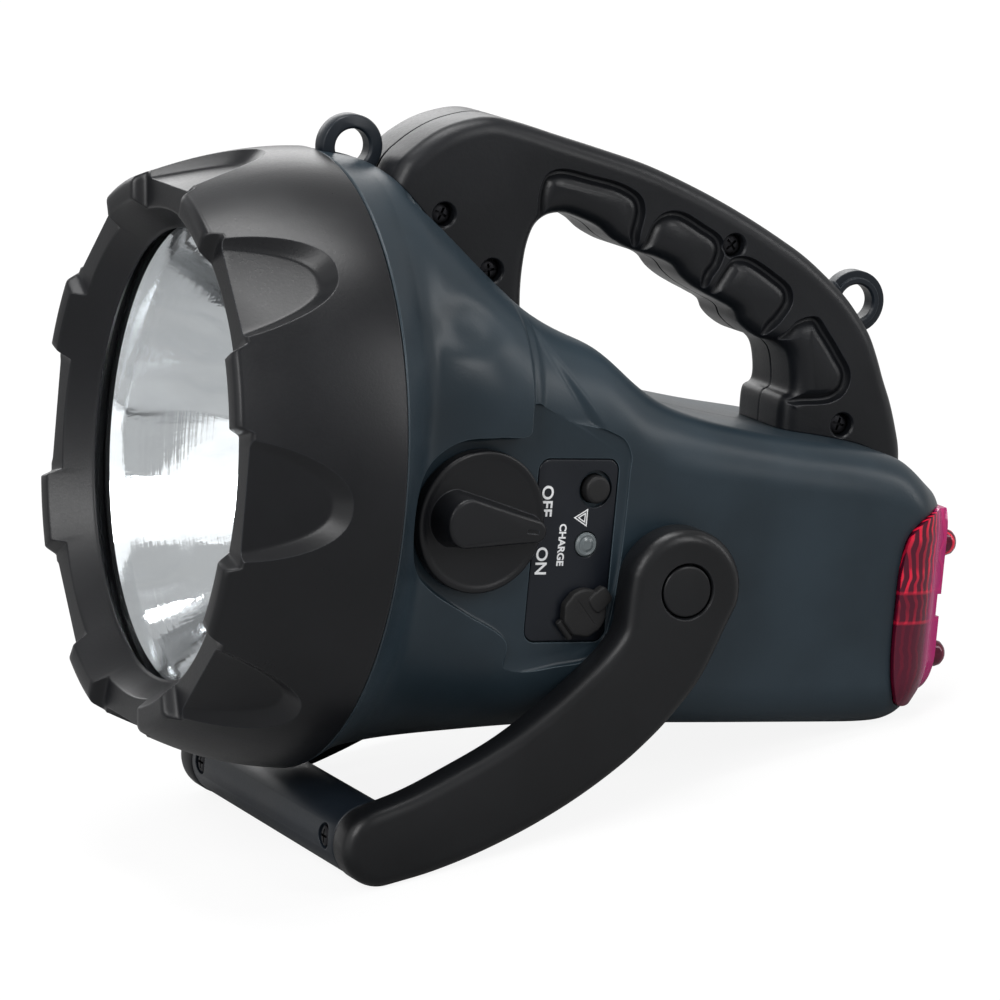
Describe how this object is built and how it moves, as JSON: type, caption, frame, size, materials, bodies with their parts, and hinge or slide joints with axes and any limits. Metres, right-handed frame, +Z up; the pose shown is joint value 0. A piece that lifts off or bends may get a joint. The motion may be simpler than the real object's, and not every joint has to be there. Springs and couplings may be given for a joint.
{
  "type": "handheld spotlight",
  "caption": "Handheld rechargeable spotlight with a toothed bezel, carry handle, strap eyelets, folding bail stand, pointer switch and red tail lamp.",
  "frame": {"origin": "centre of the bounding box's base, on the floor under the lamp as it stands on its bail bar and the body's rear edge", "axes": "+X from the lens towards the tail, +Z up, +Y to the lamp's right, with the control panel on the -Y side"},
  "size_m": [0.2308, 0.16, 0.1841],
  "materials": {
    "black_plastic": "black moulded plastic, satin",
    "grey_plastic": "dark blue-grey moulded plastic, satin",
    "black_rubber": "black moulded rubber",
    "clear_plastic": "clear and polished",
    "red_plastic": "transparent red, glossy",
    "chrome": "vacuum-metallised mirror",
    "steel": "zinc-plated steel",
    "brass": "plain brass",
    "board_green": "green circuit board",
    "battery_black": "sealed battery case",
    "white_plastic": "white moulded plastic"
  },
  "bodies": {
    "lamp": {"bezel": "black_plastic", "front_lens": "clear_plastic", "lens_gasket": "black_rubber", "reflector": "chrome", "bulb_glass": "clear_plastic", "bulb_base": "brass", "bulb_socket": "white_plastic", "body_left": "grey_plastic", "body_right": "grey_plastic", "body_screw_1": "steel", "body_screw_2": "steel", "body_screw_3": "steel", "body_screw_4": "steel", "handle_left": "black_plastic", "handle_right": "black_plastic", "handle_screw_1": "steel", "handle_screw_2": "steel", "handle_screw_3": "steel", "handle_screw_4": "steel", "eyelet_front": "black_plastic", "eyelet_rear": "black_plastic", "label_plate": "black_plastic", "rotary_switch": "white_plastic", "button_contact": "steel", "charge_light": "clear_plastic", "charge_jack": "steel", "control_board": "board_green", "battery": "battery_black", "battery_pad": "black_rubber", "tail_lens": "red_plastic", "tail_board": "board_green", "tail_tray": "white_plastic", "tail_led_1": "red_plastic", "tail_led_2": "red_plastic", "tail_led_3": "red_plastic", "pivot_bolt_left": "steel", "pivot_bolt_right": "steel", "pivot_nut_left": "steel", "pivot_nut_right": "steel", "pivot_washer_left": "white_plastic", "pivot_washer_right": "white_plastic"},
    "bail": {"bail_arm_left": "black_plastic", "bail_arm_right": "black_plastic", "bail_bar": "grey_plastic", "bail_screw_left": "steel", "bail_screw_right": "steel", "pivot_cap_left": "black_plastic", "pivot_cap_right": "black_plastic"},
    "knob": {"switch_knob": "black_plastic", "switch_shaft": "brass"},
    "button": {"flash_button": "black_rubber"},
    "cap": {"socket_cap": "black_rubber"}
  },
  "joints": [
    {"name": "bail_swing", "type": "hinge", "parent": "lamp", "child": "bail", "pos_m": [0.02189, 0, 0.05567], "axis": [0, -1, 0], "range_deg": [0, 100]},
    {"name": "knob_turn", "type": "hinge", "parent": "lamp", "child": "knob", "pos_m": [-0.02988, -0.053, 0.08581], "axis": [0.1095, -0.9936, -0.0286], "range_deg": [-22, 22]},
    {"name": "button_press", "type": "slide", "parent": "lamp", "child": "button", "axis": [-0.1095, 0.9936, 0.0286], "range_m": [0, 0.0012], "stiffness_N_per_m": 300},
    {"name": "cap_open", "type": "hinge", "parent": "lamp", "child": "cap", "pos_m": [-0.0096, -0.05098, 0.05143], "axis": [0.4558, 0.0757, -0.8868], "range_deg": [0, 110]}
  ]
}
